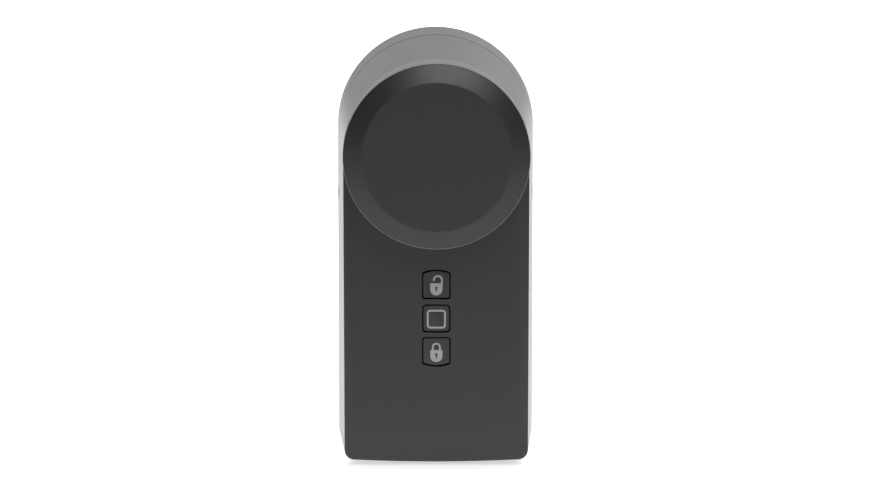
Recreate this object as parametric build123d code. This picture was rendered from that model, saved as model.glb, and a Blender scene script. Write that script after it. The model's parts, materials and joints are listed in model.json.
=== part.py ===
from build123d import *
import os
from math import acos, atan2, cos, hypot, pi, radians, sin, tan

# Motor drive for a door's lock cylinder, with a handwheel and three keys.
# Millimetres. +Z is up, the front faces -Y, and Y = 0 is the mounting face.
# The origin is on the axis of the lock cylinder. "Depth" is the distance in front of Y = 0.

os.makedirs("parts", exist_ok=True)

# --- casing ---
REAR_HALF = 29.5  # half width at the mounting face, and radius of the round top
FRONT_HALF = 27.35  # the same at the front edge
FRONT_FOOT_HALF = 27.15  # half width of the front at its bottom corners
BODY_DEPTH = 46.5
FOOT = 97.5  # from the cylinder's axis down to the lowest point, at the mounting face
FRONT_FOOT = 94.3  # the same at the front edge
FOOT_BULGE = 0.75  # height of the curved bottom edge
CORNER = 3.0
SEAM_DEPTH = 13.0
SEAM_GAP = 0.3
MIN_CORNER = 1.0  # of the walls inside the casing
WALL = 2.0
REAR_WALL = 2.2
BACK_WALL = 3.0
DECK_REAR = 43.0
DECK_FRONT = 44.7

# --- front cover ---
FIELD_DEPTH = 46.9  # the flat field
EDGE_DEPTH = 46.1  # its side edges
TOE_DEPTH = 45.7  # its bottom edge
FIELD_HALF = 22.8
TOE_CREASE = -81.6
COVER_TOP = -4.0
COVER_LIP = 24.5  # radius of its top edge, under the handwheel
CREASE_SOFTNESS = 1.2
COVER_FIT = 0.05
PAST = 1.0  # how far a cut runs past the solid that it cuts

# --- lock cylinder and mounting plate ---
CLAMP_RADIUS = 8.6
WEB_HALF = 5.1
WEB_FOOT = 24.6
PLATE_THICK = 8.0
PLATE_HALF = 17.0
PLATE_TOP = 14.5
PLATE_FOOT = -29.0
PLATE_CORNER = 5.0
COLLAR_FIT = 0.25
COLLAR_WALL = 1.6
COLLAR_FRONT = 8.3
SET_RADIUS = 2.0
SET_LENGTH = 5.0
SET_REST = 8.9  # distance of a set screw's point from the axis
SET_SOCKET = (1.0, 2.0)  # radius and depth
LOCK_HEIGHT = -20.0
LOCK_DEPTH = 5.0
LOCK_RADIUS = 1.5
LOCK_HEAD = 2.6
LOCK_TIP = 11.5
LOCK_SEAT = 27.3  # distance of a lock screw's head from the middle
LOCK_HEAD_HEIGHT = 1.5
LOCK_SOCKET = 1.0
LOCK_BOSS = 3.4
LOCK_BOSS_LENGTH = 3.0
SCREW_ROOM = 0.15

# --- key cup and handwheel ---
CUP_RADIUS = 15.6
CUP_REAR = 9.4
CUP_FLOOR = 34.0
CUP_FRONT = 37.0
CUP_THREAD = 2.6
KEY_SLOT = (7.0, 28.4)
SHOULDER_RADIUS = 18.0
SHOULDER_THICK = 0.5
SLEEVE_RADIUS = 11.0
SLEEVE_BORE = 6.0
SLEEVE_FLANGE = 15.4
SLEEVE_STEP = 38.6
RUNNING = 0.05
BUSH_WALL = 1.8
REAR_BUSH_DEPTHS = (9.1, 11.8)
FRONT_BUSH_DEPTHS = (42.6, 46.2)
SHRINK = 0.02  # room drawn between a ring and the cup that it is shrunk onto
MAGNET_RADIUS = 17.6
MAGNET_DEPTHS = (30.0, 32.0)
WHEEL_REAR = 48.4
WHEEL_WEB = 51.9
WHEEL_RIM = 61.6
WHEEL_FACE = 63.6
WHEEL_REAR_RADIUS = 26.8
WHEEL_RADIUS = 27.3
WHEEL_WALL = 2.2
WEB_THICK = 2.0
CAP_RADIUS = 26.95
CAP_FLAT = 21.8
CAP_SEAT = 60.1
CAP_SKIN = 1.6
CAP_FIT = 0.2
CAP_SKIRT = 58.1  # where the cap's locating skirt ends
CAP_SKIRT_BORE = 21.2
CUP_SCREW_CIRCLE = 13.2
WHEEL_SCREW_CIRCLE = 8.5
WHEEL_SCREW_LENGTH = 8.5

# --- gear train ---
PRESSURE_ANGLE = radians(25)
ADDENDUM = 0.9
DEDENDUM = 1.2
OUTPUT_TEETH, SECOND_PINION_TEETH, OUTPUT_MODULE = 50, 12, 0.8
SECOND_TEETH, FIRST_PINION_TEETH, SECOND_MODULE = 32, 10, 0.5
FIRST_TEETH, MOTOR_TEETH, FIRST_MODULE = 30, 10, 0.4
BACKLASH = 0.05  # as a share of the module, taken from each tooth
FIRST_LAYER = (12.0, 14.5)
SECOND_LAYER = (14.9, 18.4)
OUTPUT_LAYER = (18.8, 24.8)
SECOND_ANGLE = radians(-50)
MOTOR_X = 4.5
GEAR_COVER = (9.4, 11.2)
GEAR_PLATE = (25.6, 27.6)
GEAR_PLATE_FOOT = -36.2
GEAR_PLATE_INSET = 2.5
PILLARS = [(-21.3, -33.6), (21.3, -33.6), (0.0, 23.6)]
PILLAR_RADIUS = 1.7
PILLAR_THREAD = 7.0
PILLAR_BOSS = 2.0
BOSS_ROOM = 0.3
CUP_ROOM = 0.4
PINION_OVER = 0.3  # how far a pinion stands past its mate
FIRST_AXLE = 0.75
SECOND_AXLE = 1.0
AXLE_FIT = 0.04
AXLE_SEAT = 2.0
AXLE_SKIN = 0.5  # left between an axle's end and the far face of its plate
SCREW = 0.95  # radius of the small screws
SCREW_HEAD = 1.8
HEAD_HEIGHT = 1.2
CROSS_SPAN, CROSS_ARM, CROSS_DEPTH = 1.1, 0.28, 0.6  # shares of the head's radius and height
BLIND = 1.0  # how much deeper a blind hole is than its screw

# --- motor ---
MOTOR_RADIUS = 6.75
MOTOR_POCKET = 7.75
MOTOR_REAR = 20.0
MOTOR_FRONT = 36.5
POCKET_FLOOR = 18.6
SHAFT_RADIUS = 0.75
MOTOR_NECK = 2.2
NECK_LENGTH = 1.0
SHAFT_INSIDE = 3.0
MOTOR_EDGE = 0.6
MOTOR_SCREW = 0.7
MOTOR_SCREW_OFFSET = 4.5
MOTOR_SCREW_DEPTH = 1.2
POCKET_ROOM = 0.35
NECK_ROOM = 0.1
LOW_HEAD = 0.9

# --- batteries ---
CELL_RADIUS = 7.25
CELL_LENGTH = 50.5
CELL_NUB = (2.75, 1.0)  # radius and height
CELL_EDGE = 0.5
CELL_PITCH = 14.7
CELL_DEPTH = 22.8
CELL_FOOT = -90.8
TRAY = (14.6, 31.4)
TRAY_HALF = 22.75
TRAY_TOP = -36.8
TRAY_FOOT = -89.8
TRAY_FIT = 0.25
CONTACT = 0.3
DOOR_HALF = 22.6
DOOR_DEPTHS = (15.2, 31.4)
DOOR_GAP = 0.2
DOOR_THICK = 1.6
DOOR_PAD_INSET = 1.2
CONTACT_HALF = 4.5
CONTACT_POST = 2.4
LEAF = 0.25
LEAF_REACH = 3.6
LEAF_HALF = 2.5
TRAY_ROOF = -38.2  # underside of the tray's top wall

# --- circuit board and keys ---
BOARD = (37.5, 39.1)
BOARD_HALF = 22.6
BOARD_NECK_HALF = 18.4
BOARD_FOOT, BOARD_STEP, BOARD_TOP = -88.0, -38.0, -19.0
KEY_CENTRES = {"unlock": -40.55, "open": -50.8, "lock": -60.85}
KEY_HALF_WIDTH = 3.86
KEY_HALF_HEIGHT = 4.05
OPEN_HALF_HEIGHT = 3.87
KEY_GAP = 0.42
KEY_CORNER = 0.5
KEY_ROUND = 0.2
KEY_ARCH = 0.85
OPEN_ARCH = 0.2
KEY_REAR = 45.4
KEY_FACE = 46.7
KEY_STEM_HALF = 1.5
STEM_HOLE_HALF = 3.0
STEM_REAR = 41.6
SWITCH_FRONT = 40.6
PLUNGER_RADIUS = 0.9
SYMBOL_DEPTH = 0.3
SYMBOL_PROUD = 0.02
STROKE_ROOM = 0.5  # how far a plunger reaches into its switch
STROKE = 0.52  # width of a symbol's lines
LOCK_BODY = (1.8, 1.9, 1.7)  # half width, straight height and round foot of a padlock's body
SHACKLE_OPEN = (1.45, 0.98, 0.44)  # outer radius, height of its centre over the body, shift
SHACKLE_SHUT = (1.32, 0.85, 0.0)
OPEN_LEG = 0.2
BODY_TOP = {"unlock": 0.3, "lock": 0.55}  # top of the body above the key's centre
KEYHOLE = (0.4, 1.35)  # radius, and depth below the top of the body
KEYHOLE_SLOT = (0.4, 1.1, 1.9)  # width, length, and depth of its centre
LIGHT_SQUARE = (5.6, 1.0, -0.2)  # side, corner and height of its centre over the key's
NEAR = 1e-6

# --- parts on the board ---
SWITCH_SIZE = 5.2
SWITCH_CORNER = 0.5
SWITCH_FLOOR = 39.4
LIGHT_X = 3.5
LIGHT_SIZE = (1.0, 1.2)
LIGHT_HEIGHT = 0.7
RADIO_PLACE = (-11.0, -74.0)
RADIO_SIZE = (14.0, 16.0)
RADIO_BOARD = 0.8
SHIELD_SIZE = (12.0, 13.0)
SHIELD_CORNER = 0.6
SHIELD_HEIGHT = 1.8
CHIP_PLACE = (9.5, -72.5)
CHIP_SIZE = 7.0
CHIP_HEIGHT = 0.9
ANTENNA_CORNER = (-2.4, -86.0)
ANTENNA_LENGTH = 16.0
ANTENNA_HEIGHT = 2.8
ANTENNA_FOOT = 1.6
ANTENNA_SHEET = 0.4
SOUNDER_PLACE = (-11.2, -28.0)
SOUNDER_RADIUS = 6.2
SOUNDER_HEIGHT = 4.0
SOUND_HOLE = 1.0
HALL_PLACE = (0.0, -20.9)
HALL_SIZE = (3.0, 1.4)
HALL_HEIGHT = 1.1

# --- casing screws ---
CASE_SCREW_ROWS = [(24.85, -84.0), (24.85, -40.0), (17.2, 17.2)]  # half spacing and height
CASE_SCREWS = [(side * x, z) for x, z in CASE_SCREW_ROWS for side in (-1, 1)]
CASE_SCREW_SINK = (0.5, 1.9)  # depths of a sunk screw's head
CASE_BOSS = 2.0
CASE_SCREW_END = 20.0
BOARD_SCREW_END = 42.2
BOARD_SCREWS = [(-19.5, -42.0), (19.5, -42.0), (-19.5, -84.0), (19.5, -84.0)]


def at_depth(depth):
    return Plane(origin=(0, -depth, 0), x_dir=(1, 0, 0), z_dir=(0, -1, 0))


def slab(sketch, start, end):
    """A front-view sketch made solid from one depth to another."""
    return extrude(at_depth(start) * sketch, amount=end - start)


def disc(radius, start, end, x=0.0, z=0.0):
    return slab(Pos(x, z) * Circle(radius), start, end)


def ring(outer, inner, start, end, x=0.0, z=0.0):
    return disc(outer, start, end, x, z) - disc(inner, start, end, x, z)


def block(low, high, start, end):
    """A box from front-view corners (x, z) and two depths."""
    width = high[0] - low[0]
    height = high[1] - low[1]
    middle = Pos((low[0] + high[0]) / 2, (low[1] + high[1]) / 2)
    return slab(middle * Rectangle(width, height), start, end)


def screw(x, z, head_start, head_end, tip, head_radius=SCREW_HEAD, radius=SCREW):
    """A screw along the depth, with a cross in its head. Its tip is in front of the head or behind it."""
    towards = 1 if tip > head_end else -1
    outer = head_start if towards > 0 else head_end
    body = disc(head_radius, head_start, head_end, x, z)
    body += disc(radius, min(head_end, tip), max(head_end, tip), x, z)
    if towards < 0:
        body += disc(radius, tip, head_start, x, z)
    span = head_radius * CROSS_SPAN
    arm = head_radius * CROSS_ARM
    depth = (head_end - head_start) * CROSS_DEPTH
    slot = Pos(x, z) * (Rectangle(span, arm) + Rectangle(arm, span))
    start = outer if towards > 0 else outer - depth
    return body - slab(slot, start, start + depth)


def half_at(depth):
    return REAR_HALF + (FRONT_HALF - REAR_HALF) * depth / BODY_DEPTH


def foot_half_at(depth):
    return REAR_HALF + (FRONT_FOOT_HALF - REAR_HALF) * depth / BODY_DEPTH


def foot_at(depth):
    return FOOT + (FRONT_FOOT - FOOT) * depth / BODY_DEPTH


def outline(depth, inset=0.0):
    """The casing's front-view outline at a depth: a round top, straight sides and a bowed foot."""
    half = half_at(depth) - inset
    foot_half = foot_half_at(depth) - inset
    foot = inset - foot_at(depth)
    shoulder = foot + FOOT_BULGE
    edges = [
        ThreePointArc((-half, 0), (0, half), (half, 0)),
        Line((half, 0), (foot_half, shoulder)),
        ThreePointArc((foot_half, shoulder), (0, foot), (-foot_half, shoulder)),
        Line((-foot_half, shoulder), (-half, 0)),
    ]
    face = make_face(edges)
    corners = face.vertices().sort_by(Axis.Y)[:2]
    return fillet(corners, max(CORNER - inset, MIN_CORNER))


def tapered(start, end, inset=0.0):
    return loft([at_depth(start) * outline(start, inset), at_depth(end) * outline(end, inset)], ruled=True)


def plate_outline(grow=0.0):
    width = 2 * (PLATE_HALF + grow)
    height = PLATE_TOP - PLATE_FOOT + 2 * grow
    return Pos(0, (PLATE_TOP + PLATE_FOOT) / 2) * RectangleRounded(width, height, PLATE_CORNER + grow)


def side_cylinder(radius, x_start, x_end, z, depth):
    """A cylinder along X."""
    plane = Plane(origin=(x_start, -depth, z), x_dir=(0, 1, 0), z_dir=(1, 0, 0))
    return extrude(plane * Circle(radius), amount=x_end - x_start)


def upright_cylinder(radius, x, z_start, z_end, depth):
    """A cylinder along Z."""
    plane = Plane(origin=(x, -depth, z_start), x_dir=(1, 0, 0), z_dir=(0, 0, 1))
    return extrude(plane * Circle(radius), amount=z_end - z_start)


# --- gear geometry ---


def involute(angle):
    return tan(angle) - angle


def gear_outline(teeth, module, turn):
    """Involute gear with a tooth centred on the angle `turn`."""
    pitch = module * teeth / 2
    base = pitch * cos(PRESSURE_ANGLE)
    tip = pitch + ADDENDUM * module
    root = pitch - DEDENDUM * module
    low = max(base, root)
    pitch_half = pi / (2 * teeth) - BACKLASH * module / (2 * pitch)

    def half_angle(radius):
        return pitch_half + involute(PRESSURE_ANGLE) - involute(acos(base / radius))

    def point(radius, angle):
        return (radius * cos(angle), radius * sin(angle))

    edges = []
    middle = (low + tip) / 2
    for index in range(teeth):
        centre = turn + 2 * pi * index / teeth
        following = centre + 2 * pi / teeth
        right = [point(r, centre - half_angle(r)) for r in (low, middle, tip)]
        left = [point(r, centre + half_angle(r)) for r in (tip, middle, low)]
        root_right = point(root, centre - half_angle(low))
        root_left = point(root, centre + half_angle(low))
        root_next = point(root, following - half_angle(low))
        if root < base:
            edges.append(Line(root_right, right[0]))
        edges.append(ThreePointArc(*right))
        edges.append(Line(right[2], left[0]))
        edges.append(ThreePointArc(*left))
        if root < base:
            edges.append(Line(left[2], root_left))
        edges.append(Line(root_left, root_next))
    return make_face(edges)


def direction(start, end):
    return atan2(end[1] - start[1], end[0] - start[0])


def toothed(teeth, module, centre, mate, layer, has_tooth):
    """A gear whose tooth, or whose gap, faces the middle of its mate."""
    turn = direction(centre, mate) + (0 if has_tooth else pi / teeth)
    return slab(Pos(*centre) * gear_outline(teeth, module, turn), *layer)


OUTPUT_AXIS = (0.0, 0.0)
OUTPUT_SPACING = OUTPUT_MODULE * (OUTPUT_TEETH + SECOND_PINION_TEETH) / 2
SECOND_SPACING = SECOND_MODULE * (SECOND_TEETH + FIRST_PINION_TEETH) / 2
FIRST_SPACING = FIRST_MODULE * (FIRST_TEETH + MOTOR_TEETH) / 2
SECOND_AXIS = (OUTPUT_SPACING * cos(SECOND_ANGLE), OUTPUT_SPACING * sin(SECOND_ANGLE))
OUTPUT_TIP = OUTPUT_MODULE * (OUTPUT_TEETH / 2 + ADDENDUM)
MOTOR_REACH = OUTPUT_TIP + MOTOR_POCKET + POCKET_ROOM
MOTOR_AXIS = (MOTOR_X, -((MOTOR_REACH**2 - MOTOR_X**2) ** 0.5))
MOTOR_SCREWS = [(MOTOR_X, MOTOR_AXIS[1] + offset) for offset in (-MOTOR_SCREW_OFFSET, MOTOR_SCREW_OFFSET)]


def first_axis():
    """Where circles about the motor and the second gear meet, on the side away from the cup."""
    span = hypot(SECOND_AXIS[0] - MOTOR_AXIS[0], SECOND_AXIS[1] - MOTOR_AXIS[1])
    bend = acos((FIRST_SPACING**2 + span**2 - SECOND_SPACING**2) / (2 * FIRST_SPACING * span))
    heading = direction(MOTOR_AXIS, SECOND_AXIS) - bend
    return (MOTOR_AXIS[0] + FIRST_SPACING * cos(heading), MOTOR_AXIS[1] + FIRST_SPACING * sin(heading))


FIRST_AXIS = first_axis()
AXLE_REAR = GEAR_COVER[0] + AXLE_SKIN
FIRST_AXLE_END = POCKET_FLOOR + AXLE_SEAT
SECOND_AXLE_END = GEAR_PLATE[1] - AXLE_SKIN


# --- casing ---


def make_housing_shell():
    start = SEAM_DEPTH + SEAM_GAP
    shell = tapered(start, BODY_DEPTH) - tapered(start, DECK_REAR, WALL)
    wide = 2 * REAR_HALF
    below = block((-wide, -2 * FOOT), (wide, COVER_TOP), DECK_FRONT, BODY_DEPTH)
    shell -= below - disc(COVER_LIP, DECK_FRONT, BODY_DEPTH)
    shell -= disc(SLEEVE_RADIUS + RUNNING + BUSH_WALL, DECK_REAR, BODY_DEPTH)
    inside = tapered(start, DECK_REAR, WALL / 2)
    for x, z in CASE_SCREWS:
        shell += disc(CASE_BOSS, start, DECK_REAR, x, z) & inside
    for x, z in PILLARS:
        shell += disc(PILLAR_BOSS, GEAR_PLATE[1], DECK_REAR, x, z) & inside
        shell -= disc(SCREW, GEAR_PLATE[1], GEAR_PLATE[1] + PILLAR_THREAD, x, z)
    for x, z in CASE_SCREWS:
        shell -= disc(SCREW, start, CASE_SCREW_END + BLIND, x, z)
    for x, z in BOARD_SCREWS:
        shell += ring(CASE_BOSS, SCREW, BOARD[1], DECK_REAR, x, z)
    for z in KEY_CENTRES.values():
        low = (-STEM_HOLE_HALF, z - STEM_HOLE_HALF)
        high = (STEM_HOLE_HALF, z + STEM_HOLE_HALF)
        shell -= block(low, high, DECK_REAR, DECK_FRONT)
    return shell - door_prism(DOOR_GAP)


def door_prism(grow=0.0):
    half = DOOR_HALF + grow
    start, end = DOOR_DEPTHS
    return block((-half, -2 * FOOT), (half, -FRONT_FOOT + WALL), start - grow, end + grow)


def make_battery_door():
    """A lid that lifts off downwards, flush with the underside, with a pad that backs the contacts."""
    skin = tapered(SEAM_DEPTH, BODY_DEPTH) - tapered(SEAM_DEPTH, BODY_DEPTH, DOOR_THICK)
    lid = skin & door_prism()
    inner = DOOR_HALF - DOOR_PAD_INSET
    start, end = DOOR_DEPTHS
    pad_top = CELL_FOOT - CONTACT
    pad = block((-inner, -FOOT), (inner, pad_top), start + DOOR_PAD_INSET, end - DOOR_PAD_INSET)
    return lid + (pad & tapered(SEAM_DEPTH, BODY_DEPTH, DOOR_THICK / 2))


def make_rear_cover():
    cover = tapered(0, SEAM_DEPTH)
    cavity = tapered(BACK_WALL, SEAM_DEPTH, REAR_WALL)
    collar = slab(plate_outline(COLLAR_FIT + COLLAR_WALL), BACK_WALL, COLLAR_FRONT)
    bosses = [disc(CASE_BOSS, BACK_WALL, SEAM_DEPTH, x, z) for x, z in CASE_SCREWS]
    shell = cover - cavity + collar
    for boss in bosses:
        shell += boss & tapered(0, SEAM_DEPTH, WALL / 2)
    for side in (-1, 1):
        seat = side * LOCK_SEAT
        outside = side * (REAR_HALF + PAST)
        inside = seat - side * LOCK_BOSS_LENGTH
        shell += side_cylinder(LOCK_BOSS, inside, seat, LOCK_HEIGHT, LOCK_DEPTH)
        shell -= side_cylinder(LOCK_HEAD + SCREW_ROOM, seat, outside, LOCK_HEIGHT, LOCK_DEPTH)
        shell -= side_cylinder(LOCK_RADIUS + SCREW_ROOM, side * PLATE_HALF, seat, LOCK_HEIGHT, LOCK_DEPTH)
    shell -= slab(plate_outline(COLLAR_FIT), 0, COLLAR_FRONT + PAST)
    for x, z in CASE_SCREWS:
        shell -= disc(SCREW + SCREW_ROOM, 0, SEAM_DEPTH, x, z)
        shell -= disc(SCREW_HEAD + SCREW_ROOM, 0, CASE_SCREW_SINK[1], x, z)
    return shell


def soft_slope(crease, run, drop):
    """A soft crease at `crease`, and the slope that falls away from it by `drop` over `run`."""
    side = 1 if run > 0 else -1
    fall = atan2(drop, abs(run))
    soft_start = (crease - side * CREASE_SOFTNESS, FIELD_DEPTH)
    soft_end = (crease + side * CREASE_SOFTNESS * cos(fall), FIELD_DEPTH - CREASE_SOFTNESS * sin(fall))
    far = (crease + 2 * run, FIELD_DEPTH - 2 * drop)
    return [TangentArc(soft_start, soft_end, tangent=(side, 0)), Line(soft_end, far)]


def side_profile():
    """Across the cover: a flat field between two sloping strips."""
    edges = []
    run = FRONT_HALF - FIELD_HALF
    for side in (-1, 1):
        edges += soft_slope(side * FIELD_HALF, side * run, FIELD_DEPTH - EDGE_DEPTH)
    flat = FIELD_HALF - CREASE_SOFTNESS
    outer = FIELD_HALF + 2 * run
    low = FIELD_DEPTH - 2 * (FIELD_DEPTH - EDGE_DEPTH)
    back = DECK_REAR
    edges.append(Line((-flat, FIELD_DEPTH), (flat, FIELD_DEPTH)))
    edges.append(Polyline((-outer, low), (-outer, back), (outer, back), (outer, low)))
    return make_face(edges)


def toe_profile():
    """Down the cover: the field, then the sloping toe."""
    run = TOE_CREASE + FRONT_FOOT
    edges = soft_slope(TOE_CREASE, -run, FIELD_DEPTH - TOE_DEPTH)
    low = (TOE_CREASE - 2 * run, FIELD_DEPTH - 2 * (FIELD_DEPTH - TOE_DEPTH))
    start = (TOE_CREASE + CREASE_SOFTNESS, FIELD_DEPTH)
    edges.append(Polyline(low, (low[0], DECK_REAR), (FOOT, DECK_REAR), (FOOT, FIELD_DEPTH), start))
    return make_face(edges)


def make_front_cover():
    over = FIELD_DEPTH + PAST
    across = Plane(origin=(0, 0, FOOT), x_dir=(1, 0, 0), z_dir=(0, 0, -1))
    down = Plane(origin=(-REAR_HALF, 0, 0), x_dir=(0, 0, 1), z_dir=(1, 0, 0))
    cover = tapered(DECK_FRONT, over) & extrude(across * side_profile(), amount=3 * FOOT)
    cover &= extrude(down * toe_profile(), amount=2 * REAR_HALF)
    wide = 2 * REAR_HALF
    cover &= block((-wide, -2 * FOOT), (wide, COVER_TOP - COVER_FIT), DECK_FRONT, over)
    cover -= disc(COVER_LIP + COVER_FIT, DECK_FRONT - PAST, over)
    for name in KEY_CENTRES:
        cover -= slab(key_outline(name, KEY_GAP), DECK_FRONT - PAST, over)
    return cover


def make_case_screws():
    return Compound(children=[screw(x, z, *CASE_SCREW_SINK, CASE_SCREW_END) for x, z in CASE_SCREWS])


# --- mounting to the lock cylinder ---


def make_mounting_plate():
    plate = slab(plate_outline(), 0, PLATE_THICK)
    plate -= disc(CLAMP_RADIUS, 0, PLATE_THICK)
    plate -= block((-WEB_HALF, -WEB_FOOT + WEB_HALF), (WEB_HALF, 0), 0, PLATE_THICK)
    plate -= disc(WEB_HALF, 0, PLATE_THICK, 0, -WEB_FOOT + WEB_HALF)
    middle = PLATE_THICK / 2
    for side in (-1, 1):
        end = side * (PLATE_HALF + PAST)
        plate -= side_cylinder(SET_RADIUS, 0, end, 0, middle)
        plate -= side_cylinder(LOCK_RADIUS, side * (LOCK_TIP - BLIND), end, LOCK_HEIGHT, LOCK_DEPTH)
    return plate - upright_cylinder(SET_RADIUS, 0, 0, PLATE_TOP + PAST, middle)


def make_set_screws():
    middle = PLATE_THICK / 2
    end = SET_REST + SET_LENGTH
    radius = SET_RADIUS - RUNNING
    socket_radius, socket_depth = SET_SOCKET
    screws = []
    for side in (-1, 1):
        body = side_cylinder(radius, side * SET_REST, side * end, 0, middle)
        floor = side * (end - socket_depth)
        screws.append(body - side_cylinder(socket_radius, floor, side * end, 0, middle))
    top = upright_cylinder(radius, 0, SET_REST, end, middle)
    screws.append(top - upright_cylinder(socket_radius, 0, end - socket_depth, end, middle))
    return Compound(children=screws)


def make_lock_screws():
    screws = []
    for side in (-1, 1):
        seat = side * LOCK_SEAT
        top = side * (LOCK_SEAT + LOCK_HEAD_HEIGHT)
        body = side_cylinder(LOCK_HEAD, seat, top, LOCK_HEIGHT, LOCK_DEPTH)
        body += side_cylinder(LOCK_RADIUS - RUNNING, side * LOCK_TIP, seat, LOCK_HEIGHT, LOCK_DEPTH)
        body -= side_cylinder(LOCK_SOCKET, (seat + top) / 2, top, LOCK_HEIGHT, LOCK_DEPTH)
        screws.append(body)
    return Compound(children=screws)


# --- handwheel and key cup ---


def three_points(radius, first):
    """Three points evenly spaced on a circle."""
    angles = [radians(first) + 2 * pi * index / 3 for index in range(3)]
    return [(radius * cos(angle), radius * sin(angle)) for angle in angles]


CUP_SCREWS = three_points(CUP_SCREW_CIRCLE, 90)
WHEEL_SCREWS = three_points(WHEEL_SCREW_CIRCLE, 30)


def make_key_cup():
    cup = disc(CUP_RADIUS, CUP_REAR, CUP_FRONT)
    cup += disc(SHOULDER_RADIUS, OUTPUT_LAYER[1], OUTPUT_LAYER[1] + SHOULDER_THICK)
    cup -= slab(Rectangle(*KEY_SLOT), CUP_REAR, CUP_FLOOR)
    for x, z in CUP_SCREWS:
        cup -= disc(SCREW, CUP_FRONT - CUP_THREAD, CUP_FRONT, x, z)
    return cup


def make_drive_sleeve():
    sleeve = disc(SLEEVE_FLANGE, CUP_FRONT, SLEEVE_STEP) + disc(SLEEVE_RADIUS, CUP_FRONT, WHEEL_WEB)
    sleeve -= disc(SLEEVE_BORE, CUP_FRONT, WHEEL_WEB)
    for x, z in CUP_SCREWS:
        sleeve -= disc(SCREW + RUNNING, CUP_FRONT, SLEEVE_STEP, x, z)
    for x, z in WHEEL_SCREWS:
        sleeve -= disc(SCREW, WHEEL_WEB - WHEEL_SCREW_LENGTH, WHEEL_WEB, x, z)
    return sleeve


def make_handwheel_shell():
    rear = at_depth(WHEEL_REAR) * Circle(WHEEL_REAR_RADIUS)
    wall = loft([rear, at_depth(WHEEL_RIM) * Circle(WHEEL_RADIUS)])
    inner = WHEEL_REAR_RADIUS - WHEEL_WALL
    wall -= disc(inner, WHEEL_REAR, WHEEL_RIM)
    wall += disc(inner + WHEEL_WALL / 4, WHEEL_WEB, WHEEL_WEB + WEB_THICK)
    wall -= disc(CAP_RADIUS, CAP_SEAT, WHEEL_RIM)
    for x, z in WHEEL_SCREWS:
        wall -= disc(SCREW + RUNNING, WHEEL_WEB, WHEEL_WEB + WEB_THICK, x, z)
    return wall


def make_handwheel_cap():
    edge = CAP_RADIUS - RUNNING
    bevel = loft([at_depth(WHEEL_RIM) * Circle(edge), at_depth(WHEEL_FACE) * Circle(CAP_FLAT)])
    cap = disc(edge, CAP_SEAT, WHEEL_RIM) + bevel
    cap -= disc(CAP_SKIRT_BORE, CAP_SEAT, WHEEL_FACE - CAP_SKIN)
    skirt = WHEEL_REAR_RADIUS - WHEEL_WALL - CAP_FIT
    return cap + ring(skirt, CAP_SKIRT_BORE, CAP_SKIRT, CAP_SEAT)


def make_wheel_screws():
    start = WHEEL_WEB + WEB_THICK
    tip = start - WHEEL_SCREW_LENGTH
    return Compound(children=[screw(x, z, start, start + HEAD_HEIGHT, tip) for x, z in WHEEL_SCREWS])


def make_cup_screws():
    end = SLEEVE_STEP + HEAD_HEIGHT
    tip = CUP_FRONT - CUP_THREAD + CUP_ROOM
    return Compound(children=[screw(x, z, SLEEVE_STEP, end, tip) for x, z in CUP_SCREWS])


def bush(bore, depths):
    return ring(bore + RUNNING + BUSH_WALL, bore + RUNNING, *depths)


# --- gears, axles and motor ---


def make_output_gear():
    gear = toothed(OUTPUT_TEETH, OUTPUT_MODULE, OUTPUT_AXIS, SECOND_AXIS, OUTPUT_LAYER, True)
    return gear - disc(CUP_RADIUS + SHRINK, *OUTPUT_LAYER)


def make_second_gear():
    pinion_layer = (SECOND_LAYER[1], OUTPUT_LAYER[1] + PINION_OVER)
    gear = toothed(SECOND_TEETH, SECOND_MODULE, SECOND_AXIS, FIRST_AXIS, SECOND_LAYER, True)
    gear += toothed(SECOND_PINION_TEETH, OUTPUT_MODULE, SECOND_AXIS, OUTPUT_AXIS, pinion_layer, False)
    return gear - disc(SECOND_AXLE + AXLE_FIT, SECOND_LAYER[0], pinion_layer[1], *SECOND_AXIS)


def make_first_gear():
    pinion_layer = (FIRST_LAYER[1], SECOND_LAYER[1])
    gear = toothed(FIRST_TEETH, FIRST_MODULE, FIRST_AXIS, MOTOR_AXIS, FIRST_LAYER, True)
    gear += toothed(FIRST_PINION_TEETH, SECOND_MODULE, FIRST_AXIS, SECOND_AXIS, pinion_layer, False)
    return gear - disc(FIRST_AXLE + AXLE_FIT, FIRST_LAYER[0], pinion_layer[1], *FIRST_AXIS)


def make_motor_pinion():
    layer = (FIRST_LAYER[0] - PINION_OVER, FIRST_LAYER[1] + PINION_OVER)
    gear = toothed(MOTOR_TEETH, FIRST_MODULE, MOTOR_AXIS, FIRST_AXIS, layer, False)
    return gear - disc(SHAFT_RADIUS, *layer, *MOTOR_AXIS)


def make_motor_shaft():
    return disc(SHAFT_RADIUS, FIRST_LAYER[0] - PINION_OVER, MOTOR_REAR + SHAFT_INSIDE, *MOTOR_AXIS)


def make_motor_can():
    can = disc(MOTOR_RADIUS, MOTOR_REAR, MOTOR_FRONT, *MOTOR_AXIS)
    can = fillet(can.edges().filter_by(GeomType.CIRCLE), MOTOR_EDGE)
    neck_end = MOTOR_REAR - NECK_LENGTH
    can += disc(MOTOR_NECK, neck_end, MOTOR_REAR, *MOTOR_AXIS)
    can -= disc(SHAFT_RADIUS + AXLE_FIT, neck_end, MOTOR_REAR + SHAFT_INSIDE + AXLE_SKIN, *MOTOR_AXIS)
    for x, z in MOTOR_SCREWS:
        can -= disc(MOTOR_SCREW, MOTOR_REAR, MOTOR_REAR + MOTOR_SCREW_DEPTH + BLIND, x, z)
    return can


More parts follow.
